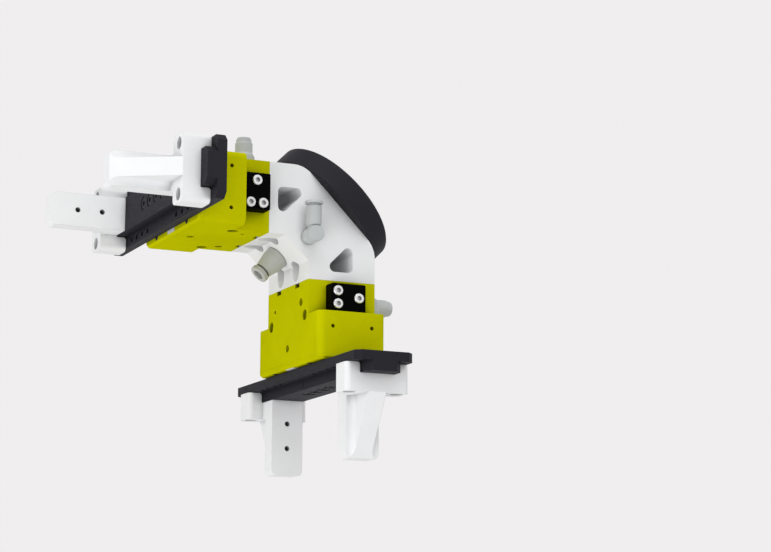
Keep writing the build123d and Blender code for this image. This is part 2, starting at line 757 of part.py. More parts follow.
def bracket_walls(bracket):
    """The bracket's hub, and round each window a seat wall, an outer wall and an inner wall."""
    reach = 2 * AXIS_REACH
    hub = bracket
    for half, own_axes in zip((-1, 1), GRIPPERS.values()):
        arm_depth = block(both(BRACKET_W), both(reach), (-WINDOW_END, 0))
        hub -= own_axes.location * arm_depth
        beside_slope = FLANGE.location * Pos(half * reach, 0, 0) * Box(2 * reach, reach, 2 * reach)
        arm = bracket & beside_slope
        for v, w in (
            (both(reach), (-SEAT_WALL, 0)),
            ((SIDE_WALL_V, reach), (-WINDOW_END, -SEAT_WALL)),
            ((-reach, SIDE_WALL_V), (-WINDOW_END, -SEAT_WALL)),
        ):
            yield arm & own_axes.location * block(both(BRACKET_W), v, w)
    yield hub


def angle_bracket():
    """The white corner block that carries both grippers, with its windows and drillings."""
    at_crossing = Plane((CROSSING, 0, CROSSING), x_dir=(1, 0, 0), z_dir=(0, -1, 0))
    half = BRACKET_W / 2
    bracket = slab(bracket_outline(), at_crossing, -half, half)
    for gripper, own_axes in GRIPPERS.items():
        bracket -= slab(window_outline(gripper), at_crossing, -half, half)
        for place in gripper_screw_places():
            driver_way = Cylinder(ACCESS_R, 2 * AXIS_REACH, align=LOW)
            shank_way = Cylinder(M5 / 2 + FLANGE_HOLE_GAP, GRIPPER_SCREW_L, align=HIGH)
            bracket -= own_axes.location * (place * (driver_way + shank_way))
    for place in flange_screw_places():
        bracket -= place * Cylinder(ACCESS_R, 2 * AXIS_REACH, align=LOW)
        bracket -= place * Cylinder(M5 / 2 + FLANGE_HOLE_GAP, FLANGE_SCREW_L, align=HIGH)
    for place, radius, depth in (
        (elbow_place(), FEED_R, half),
        (inner_fitting_place(), THROAT_R, half / 2),
    ):
        bracket -= place * Cylinder(THREAD_R + SNUG, THREAD_L + THROUGH, align=HIGH)
        bracket -= place * Cylinder(radius, depth, align=HIGH)
    return group(bracket_walls(bracket))


def adapter_disc():
    """Round plate between the bracket and the robot flange, with its centring spigot."""
    disc = Cylinder(DISC_R, DISC_T, align=HIGH)
    disc = chamfer(disc.edges().filter_by(GeomType.CIRCLE), DISC_EDGE)
    disc += Cylinder(SPIGOT_R, SPIGOT_H, align=LOW)
    disc -= Pos(0, FLANGE_PCD / 2, 0) * Cylinder(DOWEL_SHANK_R + SNUG, DOWEL_SUNK + SNUG, align=HIGH)
    disc = FLANGE.location * disc
    for place in flange_screw_places():
        disc -= place * Cylinder(M5 / 2 + FLANGE_HOLE_GAP, FLANGE_SCREW_L, align=HIGH)
    return disc


def flange_dowel():
    """Stepped index pin: the thicker shank is pressed into the disc, flush with its face."""
    pin = Cylinder(DOWEL_SHANK_R, DOWEL_SUNK, align=HIGH) + Cylinder(DOWEL_R, DOWEL_PROUD, align=LOW)
    return FLANGE.location * Pos(0, FLANGE_PCD / 2, 0) * pin


def flange_screws():
    """The screws through bracket and disc; their threaded ends stand out at the robot's side."""
    to_face = -SEAT_N
    for place in flange_screw_places():
        screw = cap_screw(M5, to_face)
        yield place * (screw + Cylinder(STUD_R, FLANGE_SCREW_L, align=HIGH))


def tube_socket():
    """The bores for a tube and its collar, below a barrel's mouth at z = 0."""
    sleeve_r = TUBE_R + TUBE_PLAY + SLEEVE_T + RUN
    sleeve_depth = SLEEVE_L + COLLAR_TRAVEL + CLEAR
    socket = Cylinder(sleeve_r, sleeve_depth, align=HIGH)
    return socket + Cylinder(TUBE_R + 2 * TUBE_PLAY, sleeve_depth + TUBE_SOCKET, align=HIGH)


def release_collar(rim_r, rim_t):
    """Rim and sleeve of a release collar, the rim's underside on z = 0."""
    sleeve = Cylinder(TUBE_R + TUBE_PLAY + SLEEVE_T, SLEEVE_L + COLLAR_REST, align=HIGH)
    rim = Cylinder(rim_r, rim_t, align=LOW)
    rim = chamfer(rim.edges().group_by(Axis.Z)[-1], HEAD_EDGE)
    return rim + sleeve - Cylinder(TUBE_R + TUBE_PLAY, SIDE_H)


def with_bores(outside, mouth):
    """A fitting's outside with its thread, throat and tube socket, its mouth at that height."""
    body = outside + Cylinder(THREAD_R, THREAD_L, align=HIGH)
    body -= Cylinder(THROAT_R, 2 * mouth)
    return body - Pos(0, 0, mouth) * tube_socket()


def side_fitting():
    """Straight fitting: hexagonal base, barrel, and a neck that shields the collar."""
    outside = hexagon(SIDE_AF, SIDE_BASE_H) & Cylinder(SIDE_BASE_R, 2 * SIDE_H)
    outside += Pos(0, 0, SIDE_BASE_H) * Cone(SIDE_AF / 2, SIDE_BARREL_R, SHOULDER_H, align=LOW)
    outside += Cylinder(SIDE_BARREL_R, SIDE_MOUTH, align=LOW)
    taper = Cone(SIDE_BARREL_R, SIDE_NECK_R, SIDE_TAPER_H, align=LOW)
    outside += Pos(0, 0, SIDE_MOUTH) * taper
    outside += Cylinder(SIDE_NECK_R, SIDE_H - COLLAR_REST, align=LOW)
    room = Cylinder(SIDE_RIM_R + SIDE_RIM_PLAY, SIDE_H, align=LOW)
    return with_bores(outside - Pos(0, 0, SIDE_MOUTH) * room, SIDE_MOUTH)


def side_collar():
    return Pos(0, 0, SIDE_H - SIDE_RIM_T) * release_collar(SIDE_RIM_R, SIDE_RIM_T)


def inner_fitting():
    """The larger fitting, with a round base that tapers to its mouth."""
    outside = Cylinder(INNER_BASE_R, INNER_BASE_H, align=LOW)
    taper = Cone(INNER_BASE_R, INNER_MOUTH_R, INNER_MOUTH - INNER_BASE_H, align=LOW)
    return with_bores(outside + Pos(0, 0, INNER_BASE_H) * taper, INNER_MOUTH)


def inner_collar():
    return Pos(0, 0, INNER_H - INNER_RIM_T) * release_collar(INNER_RIM_R, INNER_RIM_T)


def spindle(play, bead_play, top):
    """The elbow's pivot with its retaining bead, or with play the hollow that turns on it."""
    turned = Cylinder(SPINDLE_R + play, top, align=LOW)
    bead_low = ELBOW_OUT - ELBOW_CAP_T - CLEAR - BEAD_L - bead_play
    bead = Cylinder(SPINDLE_R + BEAD_H + play, top - bead_low, align=LOW)
    return turned + Pos(0, 0, bead_low) * bead


def elbow_stud():
    """Threaded foot and spindle on which the elbow turns, drilled for air."""
    stud = Cylinder(THREAD_R, THREAD_L, align=HIGH) + Cylinder(ELBOW_FOOT_R, ELBOW_FOOT_T, align=LOW)
    stud += spindle(0, 0, ELBOW_OUT - ELBOW_CAP_T - CLEAR)
    stud -= rod(THROAT_R, (0, 0, -THREAD_L - THROUGH), (0, 0, ARM_OUT + THROAT_R))
    return stud - rod(THROAT_R, (0, -ELBOW_ARM_R, ARM_OUT), (0, ELBOW_ARM_R, ARM_OUT))


def arm_frame(height):
    """A place along the elbow's arm, z along the arm."""
    return Plane((0, height, ARM_OUT), x_dir=(1, 0, 0), z_dir=(0, 1, 0)).location


def elbow_body():
    """The elbow: a capped barrel that turns on the spindle and an arm with a tube socket."""
    start = ELBOW_FOOT_T + SPINDLE_GAP
    barrel = Pos(0, 0, start) * Cylinder(ELBOW_FOOT_R, ELBOW_OUT - start, align=LOW)
    barrel = fillet(barrel.edges().group_by(Axis.Z)[-1], ELBOW_CAP_T / 2)
    arm = Cylinder(ELBOW_ARM_R, ARM_MOUTH - ELBOW_NECK_L, align=LOW)
    arm = fillet(arm.edges().group_by(Axis.Z)[0], ELBOW_ARM_EDGE)
    body = barrel + arm_frame(ELBOW_NECK_L) * arm
    body += arm_frame(0) * Cylinder(ELBOW_NECK_R, ELBOW_NECK_L + ELBOW_ARM_EDGE, align=LOW)
    body -= spindle(AXLE_PLAY, SPINDLE_GAP, ELBOW_OUT - ELBOW_CAP_T)
    body -= arm_frame(0) * Cylinder(THROAT_R, ARM_MOUTH, align=LOW)
    return body - arm_frame(ARM_MOUTH) * tube_socket()


def elbow_collar():
    return arm_frame(ELBOW_UP - ELBOW_RIM_T) * release_collar(ELBOW_RIM_R, ELBOW_RIM_T)


def write(name, part):
    export_step(part, os.path.join("parts", name + ".step"))


def in_both_grippers(parts):
    """Copies of parts drawn in gripper axes, in both grippers."""
    parts = list(parts)
    return group(own_axes.location * part for own_axes in GRIPPERS.values() for part in parts)


def write_gripper(key, own_axes):
    """The sub-parts of one gripper that have their own names."""
    for name, part in (
        ("housing", housing()),
        ("guide_plate", guide_plate()),
        ("air_covers", group([air_covers()])),
        ("pinion_axle", pinion_axle()),
        ("pinion", pinion()),
    ):
        write(f"{name}_{key}", own_axes.location * part)
    for side, place in fitting_places():
        name = "near" if side == NEAR[key] else "far"
        write(f"side_collar_{key}_{name}", own_axes.location * (place * side_collar()))
    write_jaw(key, own_axes, "near" if NEAR[key] < 0 else "far", 0)
    write_jaw(key, own_axes, "far" if NEAR[key] < 0 else "near", 180)


def write_jaw(key, own_axes, side, turn):
    """One jaw, drawn on the -u side; its partner is the same jaw turned half round w."""
    place = own_axes.location * Rotation(0, 0, turn)
    jaw_screws = [at * cap_screw(M4, JAW_SCREW_L) for at in jaw_screw_places()]
    finger_screws = [at * cap_screw(M3, FINGER_SCREW_L) for at in finger_screw_places()]
    for name, part in (
        ("carriage", carriage()),
        ("piston", piston()),
        ("piston_seals", group(piston_seals())),
        ("rail", jaw_rail()),
        ("rail_screws", group(jaw_screws)),
        ("finger", finger()),
        ("finger_screws", group(finger_screws)),
    ):
        write(f"{name}_{key}_{side}", place * part)


os.makedirs("parts", exist_ok=True)

for gripper_key, gripper_axes in GRIPPERS.items():
    write_gripper(gripper_key, gripper_axes)

write("angle_bracket", angle_bracket())
write("adapter_disc", adapter_disc())
write("flange_dowel", flange_dowel())
write("flange_screws", group(flange_screws()))

cover_screws = [place * cap_screw(M3, COVER_SCREW_L) for place in cover_screw_places()]
write("cover_screws", in_both_grippers(cover_screws))
plate_screws = [place * flat_screw(PLATE_SCREW_L) for place in plate_screw_places()]
write("plate_screws", in_both_grippers(plate_screws))
gripper_screws = [place * cap_screw(M5, GRIPPER_SCREW_L) for place in gripper_screw_places()]
write("gripper_screws", in_both_grippers(gripper_screws))
write("guide_wipers", in_both_grippers(guide_wipers()))
write("bore_plugs", in_both_grippers(bore_plugs()))
write("plug_seals", in_both_grippers(plug_seals()))
side_fittings = [place * side_fitting() for side, place in fitting_places()]
write("side_fittings", in_both_grippers(side_fittings))

write("inner_fitting", inner_fitting_place() * inner_fitting())
write("inner_collar", inner_fitting_place() * inner_collar())
write("elbow_stud", elbow_place() * elbow_stud())
write("elbow_body", elbow_place() * elbow_body())
write("elbow_collar", elbow_place() * elbow_collar())
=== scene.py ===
import json
import math

import bpy
from mathutils import Matrix, Vector


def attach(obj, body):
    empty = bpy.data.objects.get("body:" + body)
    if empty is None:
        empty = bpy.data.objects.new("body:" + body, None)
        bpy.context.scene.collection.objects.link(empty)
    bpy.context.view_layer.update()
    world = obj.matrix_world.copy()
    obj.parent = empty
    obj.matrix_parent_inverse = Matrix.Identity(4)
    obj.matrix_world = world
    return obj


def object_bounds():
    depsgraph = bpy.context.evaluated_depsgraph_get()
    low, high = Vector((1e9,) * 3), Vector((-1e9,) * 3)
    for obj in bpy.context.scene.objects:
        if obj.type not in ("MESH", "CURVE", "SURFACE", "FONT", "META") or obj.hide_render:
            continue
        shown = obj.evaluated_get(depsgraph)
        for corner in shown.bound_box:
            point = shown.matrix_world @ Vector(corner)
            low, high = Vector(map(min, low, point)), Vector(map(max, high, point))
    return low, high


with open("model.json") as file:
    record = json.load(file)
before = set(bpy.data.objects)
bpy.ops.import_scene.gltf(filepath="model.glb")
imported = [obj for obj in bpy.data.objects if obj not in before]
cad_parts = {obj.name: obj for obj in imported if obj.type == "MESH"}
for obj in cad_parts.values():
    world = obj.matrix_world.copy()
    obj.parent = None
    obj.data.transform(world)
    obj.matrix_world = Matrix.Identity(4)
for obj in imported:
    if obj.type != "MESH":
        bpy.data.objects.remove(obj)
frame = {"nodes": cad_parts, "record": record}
cad_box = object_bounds()

# The photograph's camera, in metres in the row's frame
CAMERA_AT = Vector((-0.4709, -1.0875, -0.2664))
CAMERA_LOOK = Vector((0.41274, 0.89176, 0.18551)).normalized()
CAMERA_ROLL = math.radians(-0.18)
LENS_MM = 99.02
SENSOR_MM = 36.0

FLOOR_Z = -0.95
FLOOR_SIZE = 8.0

# A broad key from the front left and below, and a fill from the front and above
WORLD_STRENGTH = 0.72
KEY_AT = (-0.93, -0.56, -0.75)
KEY_SIZE = 0.9
KEY_WATTS = 7.4
TOP_AT = (-0.30, -0.75, 1.20)
TOP_SIZE = 1.2
TOP_WATTS = 7.8

# Colours as linear values
PALE = (0.871, 0.855, 0.863)
CHARTREUSE = (0.512, 0.518, 0.0008)
DARK_RAIL = (0.0212, 0.0203, 0.0257)
BLACK = (0.0006, 0.0006, 0.0007)
NYLON = (0.845, 0.856, 0.862)
ZINC = (0.86, 0.86, 0.87)
GREY_PLASTIC = (0.482, 0.511, 0.513)
WARM_PLASTIC = (0.462, 0.472, 0.440)
STEEL = (0.56, 0.57, 0.58)
ALUMINIUM = (0.80, 0.80, 0.81)
RUBBER = (0.012, 0.012, 0.013)
BLACK_OXIDE = (0.022, 0.022, 0.026)
NICKEL = (0.66, 0.67, 0.67)
WIPER_GREY = (0.62, 0.63, 0.64)

# How a field of noise is stretched
EVEN = (1.0, 1.0, 1.0)
ALONG_Y = (1.0, 0.06, 1.0)
ROUND_X_AND_Z = (1.0, 0.2, 1.0)

# Strengths and heights of the bumps, and the radii of broken edges, in metres
GRAIN_STRENGTH = 0.35
GRAIN_HEIGHT = 0.00002
LAYER_STRENGTH = 0.12
LAYER_HEIGHT = 0.00001
SUGAR_STRENGTH = 0.45
SUGAR_HEIGHT = 0.00004
LINE_STRENGTH = 0.25
LINE_HEIGHT = 0.00001
PEEL_STRENGTH = 0.2
PEEL_HEIGHT = 0.00002
METAL_EDGE = 0.0002
PLASTIC_EDGE = 0.0003
RAIL_EDGE = 0.00012
FINGER_EDGE = 0.0005
NO_EDGE = 0.0           # where touching solids stand for one piece, so that no seam shows

# Within this distance its neighbours darken a surface with painted shade
BODY_SHADE_REACH = 0.009
RAIL_SHADE_REACH = 0.045
NYLON_SHADE_REACH = 0.008
SMALL_SHADE_REACH = 0.003


# Materials

def new_material(name):
    """An empty node material, with its shader and the object's own coordinates in metres."""
    made = bpy.data.materials.new(name)
    made.use_nodes = True
    tree = made.node_tree
    shader = tree.nodes["Principled BSDF"]
    coords = tree.nodes.new("ShaderNodeTexCoord").outputs["Object"]
    return made, tree, shader, coords


def noise(tree, coords, scale, detail=3.0, rough=0.55, stretch=EVEN):
    """A noise field of so many cells to the metre, stretched along the axes."""
    mapping = tree.nodes.new("ShaderNodeMapping")
    mapping.inputs["Scale"].default_value = stretch
    field = tree.nodes.new("ShaderNodeTexNoise")
    field.inputs["Scale"].default_value = scale
    field.inputs["Detail"].default_value = detail
    field.inputs["Roughness"].default_value = rough
    tree.links.new(coords, mapping.inputs["Vector"])
    tree.links.new(mapping.outputs["Vector"], field.inputs["Vector"])
    return field.outputs["Fac"]


def spread(tree, field, low, high, start=0.35, end=0.65):
    """The field mapped to a range of values."""
    node = tree.nodes.new("ShaderNodeMapRange")
    node.inputs["From Min"].default_value = start
    node.inputs["From Max"].default_value = end
    node.inputs["To Min"].default_value = low
    node.inputs["To Max"].default_value = high
    tree.links.new(field, node.inputs["Value"])
    return node.outputs["Result"]


def tint(tree, field, dark, light):
    """A colour between two, by the field."""
    node = tree.nodes.new("ShaderNodeMix")
    node.data_type = "RGBA"
    node.inputs["A"].default_value = (*dark, 1.0)
    node.inputs["B"].default_value = (*light, 1.0)
    tree.links.new(field, node.inputs["Factor"])
    return node.outputs["Result"]


def painted_shade_in_hollows(tree, colour, deepest_painted_shade, reach=0.006):
    """The colour, darkened with painted shade towards that share of itself in holes, corners and
    narrow gaps.
    """
    near = tree.nodes.new("ShaderNodeAmbientOcclusion")
    near.samples = 8
    near.inputs["Distance"].default_value = reach
    dim = spread(tree, near.outputs["AO"], deepest_painted_shade, 1.0, start=0.12, end=0.72)
    node = tree.nodes.new("ShaderNodeMix")
    node.data_type = "RGBA"
    node.blend_type = "MULTIPLY"
    node.inputs["Factor"].default_value = 1.0
    tree.links.new(colour, node.inputs["A"])
    tree.links.new(dim, node.inputs["B"])
    return node.outputs["Result"]


def relief(tree, layers, edge):
    """Bumps in a chain, each a (field, strength, height), over edges rounded by that radius."""
    normal = None
    if edge:
        bevel = tree.nodes.new("ShaderNodeBevel")
        bevel.samples = 4
        bevel.inputs["Radius"].default_value = edge
        normal = bevel.outputs["Normal"]
    for field, strength, height in layers:
        bump = tree.nodes.new("ShaderNodeBump")
        bump.inputs["Strength"].default_value = strength
        bump.inputs["Distance"].default_value = height
        tree.links.new(field, bump.inputs["Height"])
        if normal:
            tree.links.new(normal, bump.inputs["Normal"])
        normal = bump.outputs["Normal"]
    return normal


def shade(colour, factor):
    """The colour made darker or lighter."""
    return tuple(min(1.0, channel * factor) for channel in colour)


def coated(name, colour, roughness, vary=0.05, grain=2600.0, edge=0.0003, specular=0.5,
           stretch=EVEN, deepest_painted_shade=0.6, reach=0.006):
    """A blasted and anodised or painted surface: cloudy colour, fine grain, soft edges, painted
    shade in its hollows.
    """
    made, tree, shader, coords = new_material(name)
    cloud = noise(tree, coords, 28.0, detail=4.0)
    fine = noise(tree, coords, grain, detail=2.0, stretch=stretch)
    dark = shade(colour, 1.0 - vary)
    light = shade(colour, 1.0 + vary)
    mottled = tint(tree, spread(tree, cloud, 0.0, 1.0), dark, light)
    # Painted shade: the colour darkens where other surfaces close round it, in holes, corners and
    # gaps
    tree.links.new(painted_shade_in_hollows(tree, mottled, deepest_painted_shade, reach), shader.inputs["Base Color"])
    rough = spread(tree, fine, roughness - 0.05, roughness + 0.06)
    tree.links.new(rough, shader.inputs["Roughness"])
    shader.inputs["Specular IOR Level"].default_value = specular
    bumps = [(fine, GRAIN_STRENGTH, GRAIN_HEIGHT)]
    tree.links.new(relief(tree, bumps, edge), shader.inputs["Normal"])
    return made


def sintered_nylon(name, colour, edge):
    """Powder-sintered nylon: a fine sugary grain, the faint steps of its layers, and painted
    shade in its hollows.
    """
    made, tree, shader, coords = new_material(name)
    cloud = noise(tree, coords, 40.0, detail=5.0)
    sugar = noise(tree, coords, 2200.0, detail=3.0, rough=0.7)
    layers = tree.nodes.new("ShaderNodeTexWave")
    layers.bands_direction = "Z"
    layers.inputs["Scale"].default_value = 1500.0
    layers.inputs["Distortion"].default_value = 1.5
    layers.inputs["Detail"].default_value = 1.0
    tree.links.new(coords, layers.inputs["Vector"])
    dark = shade(colour, 0.975)
    light = shade(colour, 1.01)
    mottled = tint(tree, spread(tree, cloud, 0.0, 1.0), dark, light)
    # Painted shade: the colour darkens where other surfaces close round it, in pockets, corners
    # and gaps
    tree.links.new(painted_shade_in_hollows(tree, mottled, 0.35, NYLON_SHADE_REACH), shader.inputs["Base Color"])
    tree.links.new(spread(tree, sugar, 0.62, 0.78), shader.inputs["Roughness"])
    shader.inputs["Specular IOR Level"].default_value = 0.35
    bumps = [
        (layers.outputs["Fac"], LAYER_STRENGTH, LAYER_HEIGHT),
        (sugar, SUGAR_STRENGTH, SUGAR_HEIGHT),
    ]
    tree.links.new(relief(tree, bumps, edge), shader.inputs["Normal"])
    return made


def machined(name, colour, roughness, stretch, metallic=1.0, specular=0.5):
    """Bare metal with the fine lines that turning or grinding leaves, and painted shade in its
    hollows.
    """
    made, tree, shader, coords = new_material(name)
    lines = noise(tree, coords, 900.0, detail=4.0, stretch=stretch)
    cloud = noise(tree, coords, 60.0, detail=3.0)
    dark = shade(colour, 0.9)
    mottled = tint(tree, spread(tree, cloud, 0.0, 1.0), dark, colour)
    # Painted shade: the colour darkens in sockets, corners and narrow gaps
    tree.links.new(painted_shade_in_hollows(tree, mottled, 0.3, SMALL_SHADE_REACH), shader.inputs["Base Color"])
    rough = spread(tree, lines, roughness - 0.06, roughness + 0.1)
    tree.links.new(rough, shader.inputs["Roughness"])
    shader.inputs["Metallic"].default_value = metallic
    shader.inputs["Specular IOR Level"].default_value = specular
    bumps = [(lines, LINE_STRENGTH, LINE_HEIGHT)]
    tree.links.new(relief(tree, bumps, METAL_EDGE), shader.inputs["Normal"])
    return made


def moulded(name, colour, roughness):
    """Injection-moulded plastic with a faint orange peel, and painted shade in its hollows."""
    made, tree, shader, coords = new_material(name)
    cloud = noise(tree, coords, 90.0, detail=3.0)
    peel = noise(tree, coords, 1400.0, detail=2.0)
    dark = shade(colour, 0.95)
    light = shade(colour, 1.03)
    mottled = tint(tree, spread(tree, cloud, 0.0, 1.0), dark, light)
    # Painted shade: the colour darkens in corners and narrow gaps
    tree.links.new(painted_shade_in_hollows(tree, mottled, 0.5, SMALL_SHADE_REACH), shader.inputs["Base Color"])
    rough = spread(tree, peel, roughness - 0.05, roughness + 0.06)
    tree.links.new(rough, shader.inputs["Roughness"])
    shader.inputs["Specular IOR Level"].default_value = 0.45
    bumps = [(peel, PEEL_STRENGTH, PEEL_HEIGHT)]
    tree.links.new(relief(tree, bumps, PLASTIC_EDGE), shader.inputs["Normal"])
    return made


# The body's holes go fully black under painted shade, and the rails take painted shade from
# neighbours up to 45 mm away
finish = {
    "body": coated("chartreuse_anodised", CHARTREUSE, 0.56, specular=0.0, edge=NO_EDGE,
                   deepest_painted_shade=0.0, reach=BODY_SHADE_REACH),
    "guide_plate": coated("chartreuse_plate", shade(CHARTREUSE, 0.985), 0.54, specular=0.0),
    "plug": coated("chartreuse_plug", CHARTREUSE, 0.56, specular=0.0, edge=NO_EDGE),
    "air_cover": coated("black_anodised", BLACK, 0.6, vary=0.15, specular=0.03),
    "rail": coated("dark_hard_anodised", DARK_RAIL, 0.52, vary=0.08, grain=1800.0,
                   edge=RAIL_EDGE, stretch=ALONG_Y, specular=0.05, deepest_painted_shade=0.35,
                   reach=RAIL_SHADE_REACH),
    "disc": coated("dark_anodised_disc", DARK_RAIL, 0.55, vary=0.08, specular=0.08),
    "bracket": sintered_nylon("white_nylon_bracket", shade(NYLON, 0.965), NO_EDGE),
    "finger": sintered_nylon("white_nylon_finger", shade(NYLON, 1.01), FINGER_EDGE),
    "screw": machined("zinc_plated", ZINC, 0.34, EVEN, metallic=0.7),
    "dark_screw": machined("black_oxide", BLACK_OXIDE, 0.5, EVEN, metallic=0.0, specular=0.12),
    "inner_steel": machined("ground_steel", STEEL, 0.28, ALONG_Y),
    "piston": machined("turned_aluminium", ALUMINIUM, 0.3, ROUND_X_AND_Z),
    "seal": moulded("nitrile_rubber", RUBBER, 0.6),
    "wiper": moulded("grey_wiper", WIPER_GREY, 0.5),
    "fitting": moulded("grey_fitting", GREY_PLASTIC, 0.42),
    "collar": moulded("grey_collar", shade(GREY_PLASTIC, 1.06), 0.40),
    "inner_fitting": moulded("warm_grey_fitting", WARM_PLASTIC, 0.45),
    "stud": machined("nickel_plated", NICKEL, 0.25, EVEN),
}


def dress_frame():
    """Gives each CAD piece its finish."""
    for row in frame["record"]["subparts"]:
        node = frame["nodes"][row["node"]]
        node.data.materials.clear()
        node.data.materials.append(finish[row["material_slot"]])


dress_frame()


# Places on the object, from the sizes that the part's source has

CROSSING = -0.007884        # x and z of the point where both gripper axes meet
AXIS_REACH = 0.0437         # from there to each gripper's mounting face
HALF_T = 0.020              # half the thickness of a gripper's body
INNER_CHAMFER = 0.0135
FLANGE_AXIS = Vector((1.0, 0.0, 1.0)).normalized()
FLANGE_RADIUS = 0.01575
PORT_U = 0.019
PORT_W = 0.0115
VENT_W = 0.035
ELBOW_BACK = 0.0204
ELBOW_ARM_Y = -0.03715

# Threads on the studs and in the ports
STUD_ROOT = 0.00222
STUD_CREST = 0.00248
STUD_PITCH = 0.0008
STUD_THREAD_L = 0.0060
STUD_CLEAR = 0.0006         # of the disc's face
LINING_SHARE = 0.86         # of the hole's radius, at the crest
LINING_PITCH = 0.0007
LINING_START = 0.0002
OPEN_HOLES = (              # name, u, w, radius and threaded depth
    ("plain_port", -PORT_U, PORT_W, 0.00219, 0.0052),
    ("sensor_hole", PORT_U, PORT_W, 0.00109, 0.0042),
    ("vent", 0.0, VENT_W, 0.00209, 0.0026),
)

# A thread's profile: shares of the pitch from its crest, and of its height
THREAD_PROFILE = ((-0.44, 0.0), (-0.08, 1.0), (0.08, 1.0), (0.44, 0.0))
THREAD_STEPS = 28
FADE_TURNS = 0.4

# Sealing rings: middle radius, radius of the section and height above the seat
SIDE_SEAL = (0.00580, 0.0003, 0.00022)
INNER_SEAL = (0.00668, 0.00014, 0.00010)
RING_STEPS = 48
SECTION_STEPS = 12

# Grip teeth and their height above each fitting's seat
TEETH = 12
TOOTH_FILL = 0.92
TIP_SHARE = 0.55
TEETH_OUTER = 0.0032
TEETH_INNER = 0.0026
TOOTH_DROP = 0.0007
TOOTH_T = 0.00012
SIDE_TEETH_AT = 0.0058
INNER_TEETH_AT = 0.0072
ELBOW_TEETH_AT = 0.0106


def in_gripper(key, u, v, w):
    """A point of a gripper's own axes, which are those of the part's source."""
    if key == "a":
        return Vector((CROSSING - AXIS_REACH - w, -u, CROSSING + v))
    return Vector((CROSSING + v, u, CROSSING - AXIS_REACH - w))


def v_direction(key):
    """The direction from a gripper's underside to the side with its fittings."""
    return in_gripper(key, 0.0, 1.0, 0.0) - in_gripper(key, 0.0, 0.0, 0.0)


def mesh_piece(name, points, faces, body, slot):
    """A piece in mesh code, smooth shaded, that rides on a body and takes a slot's finish."""
    mesh = bpy.data.meshes.new(name)
    mesh.from_pydata(points, [], faces)
    mesh.validate()
    mesh.shade_smooth()
    mesh.materials.append(finish[slot])
    piece = bpy.data.objects.new(name, mesh)
    bpy.context.scene.collection.objects.link(piece)
    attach(piece, body)


def spoke_round(axis):
    """A function that gives the unit spoke at an angle round an axis."""
    side = axis.orthogonal().normalized()
    across = axis.cross(side).normalized()
    return lambda angle: math.cos(angle) * side + math.sin(angle) * across


def thread(name, start, axis, root, crest, pitch, length, body, slot):
    """A helical thread, faded at both ends; one whose crest is inside its root lines a hole."""
    spoke = spoke_round(axis)
    count = int(length / pitch * THREAD_STEPS)
    fade_steps = THREAD_STEPS * FADE_TURNS
    points = []
    for index in range(count + 1):
        turn = index / THREAD_STEPS
        fade = min(1.0, index / fade_steps, (count - index) / fade_steps)
        for shift, lift in THREAD_PROFILE:
            radius = root + (crest - root) * lift * fade
            along = pitch * (turn + shift + 0.5)
            points.append(start + axis * along + spoke(2 * math.pi * turn) * radius)
    width = len(THREAD_PROFILE)
    faces = []
    for index in range(count):
        for step in range(width - 1):
            corner = index * width + step
            faces.append((corner, corner + 1, corner + 1 + width, corner + width))
    mesh_piece(name, points, faces, body, slot)


def ring(name, centre, axis, major, minor, body, slot):
    """A round ring of round section."""
    spoke = spoke_round(axis)
    points = []
    faces = []
    for index in range(RING_STEPS):
        outwards = spoke(2 * math.pi * index / RING_STEPS)
        after = (index + 1) % RING_STEPS
        for turn in range(SECTION_STEPS):
            angle = 2 * math.pi * turn / SECTION_STEPS
            out = outwards * (major + minor * math.cos(angle))
            points.append(centre + out + axis * (minor * math.sin(angle)))
            beside = (turn + 1) % SECTION_STEPS
            faces.append((
                index * SECTION_STEPS + turn, after * SECTION_STEPS + turn,
                after * SECTION_STEPS + beside, index * SECTION_STEPS + beside,
            ))
    mesh_piece(name, points, faces, body, slot)


def grip_teeth(name, centre, axis, body):
    """The ring of sprung steel teeth that holds a tube, dished towards the socket's floor."""
    spoke = spoke_round(axis)
    wide = math.pi / TEETH * TOOTH_FILL
    thin = wide * TIP_SHARE
    corners = (
        (-wide, TEETH_OUTER, 0.0), (wide, TEETH_OUTER, 0.0),
        (thin, TEETH_INNER, -TOOTH_DROP), (-thin, TEETH_INNER, -TOOTH_DROP),
    )
    points = []
    faces = []
    for index in range(TEETH):
        middle = 2 * math.pi * index / TEETH
        first = len(points)
        for level in (0.0, -TOOTH_T):
            for turn, radius, drop in corners:
                points.append(centre + spoke(middle + turn) * radius + axis * (drop + level))
        faces.append(tuple(first + step for step in (0, 1, 2, 3)))
        faces.append(tuple(first + step for step in (7, 6, 5, 4)))
        for step in range(4):
            beside = (step + 1) % 4
            faces.append((first + step, first + 4 + step, first + 4 + beside, first + beside))
    mesh_piece(name, points, faces, body, "inner_steel")


def add_stud_threads():
    """M5 threads on the ends of the flange screws, round shafts at their pitch diameter."""
    across = Vector((0.0, 1.0, 0.0))
    along_slope = FLANGE_AXIS.cross(across)
    reach = FLANGE_RADIUS * math.cos(math.pi / 4)
    number = 0
    for slope_side in (-1, 1):
        for stroke_side in (-1, 1):
            number += 1
            start = along_slope * (slope_side * reach) + across * (stroke_side * reach)
            thread(f"stud_thread_{number}", start + FLANGE_AXIS * STUD_CLEAR, FLANGE_AXIS,
                   STUD_ROOT, STUD_CREST, STUD_PITCH, STUD_THREAD_L, "frame", "screw")


def add_port_threads():
    """Threads in the open ports and tapped holes of both bodies."""
    for key in ("a", "b"):
        for name, u, w, radius, depth in OPEN_HOLES:
            mouth = in_gripper(key, u, -HALF_T + LINING_START, w)
            thread(f"{name}_thread_{key}", mouth, v_direction(key), radius,
                   radius * LINING_SHARE, LINING_PITCH, depth, "frame", "body")


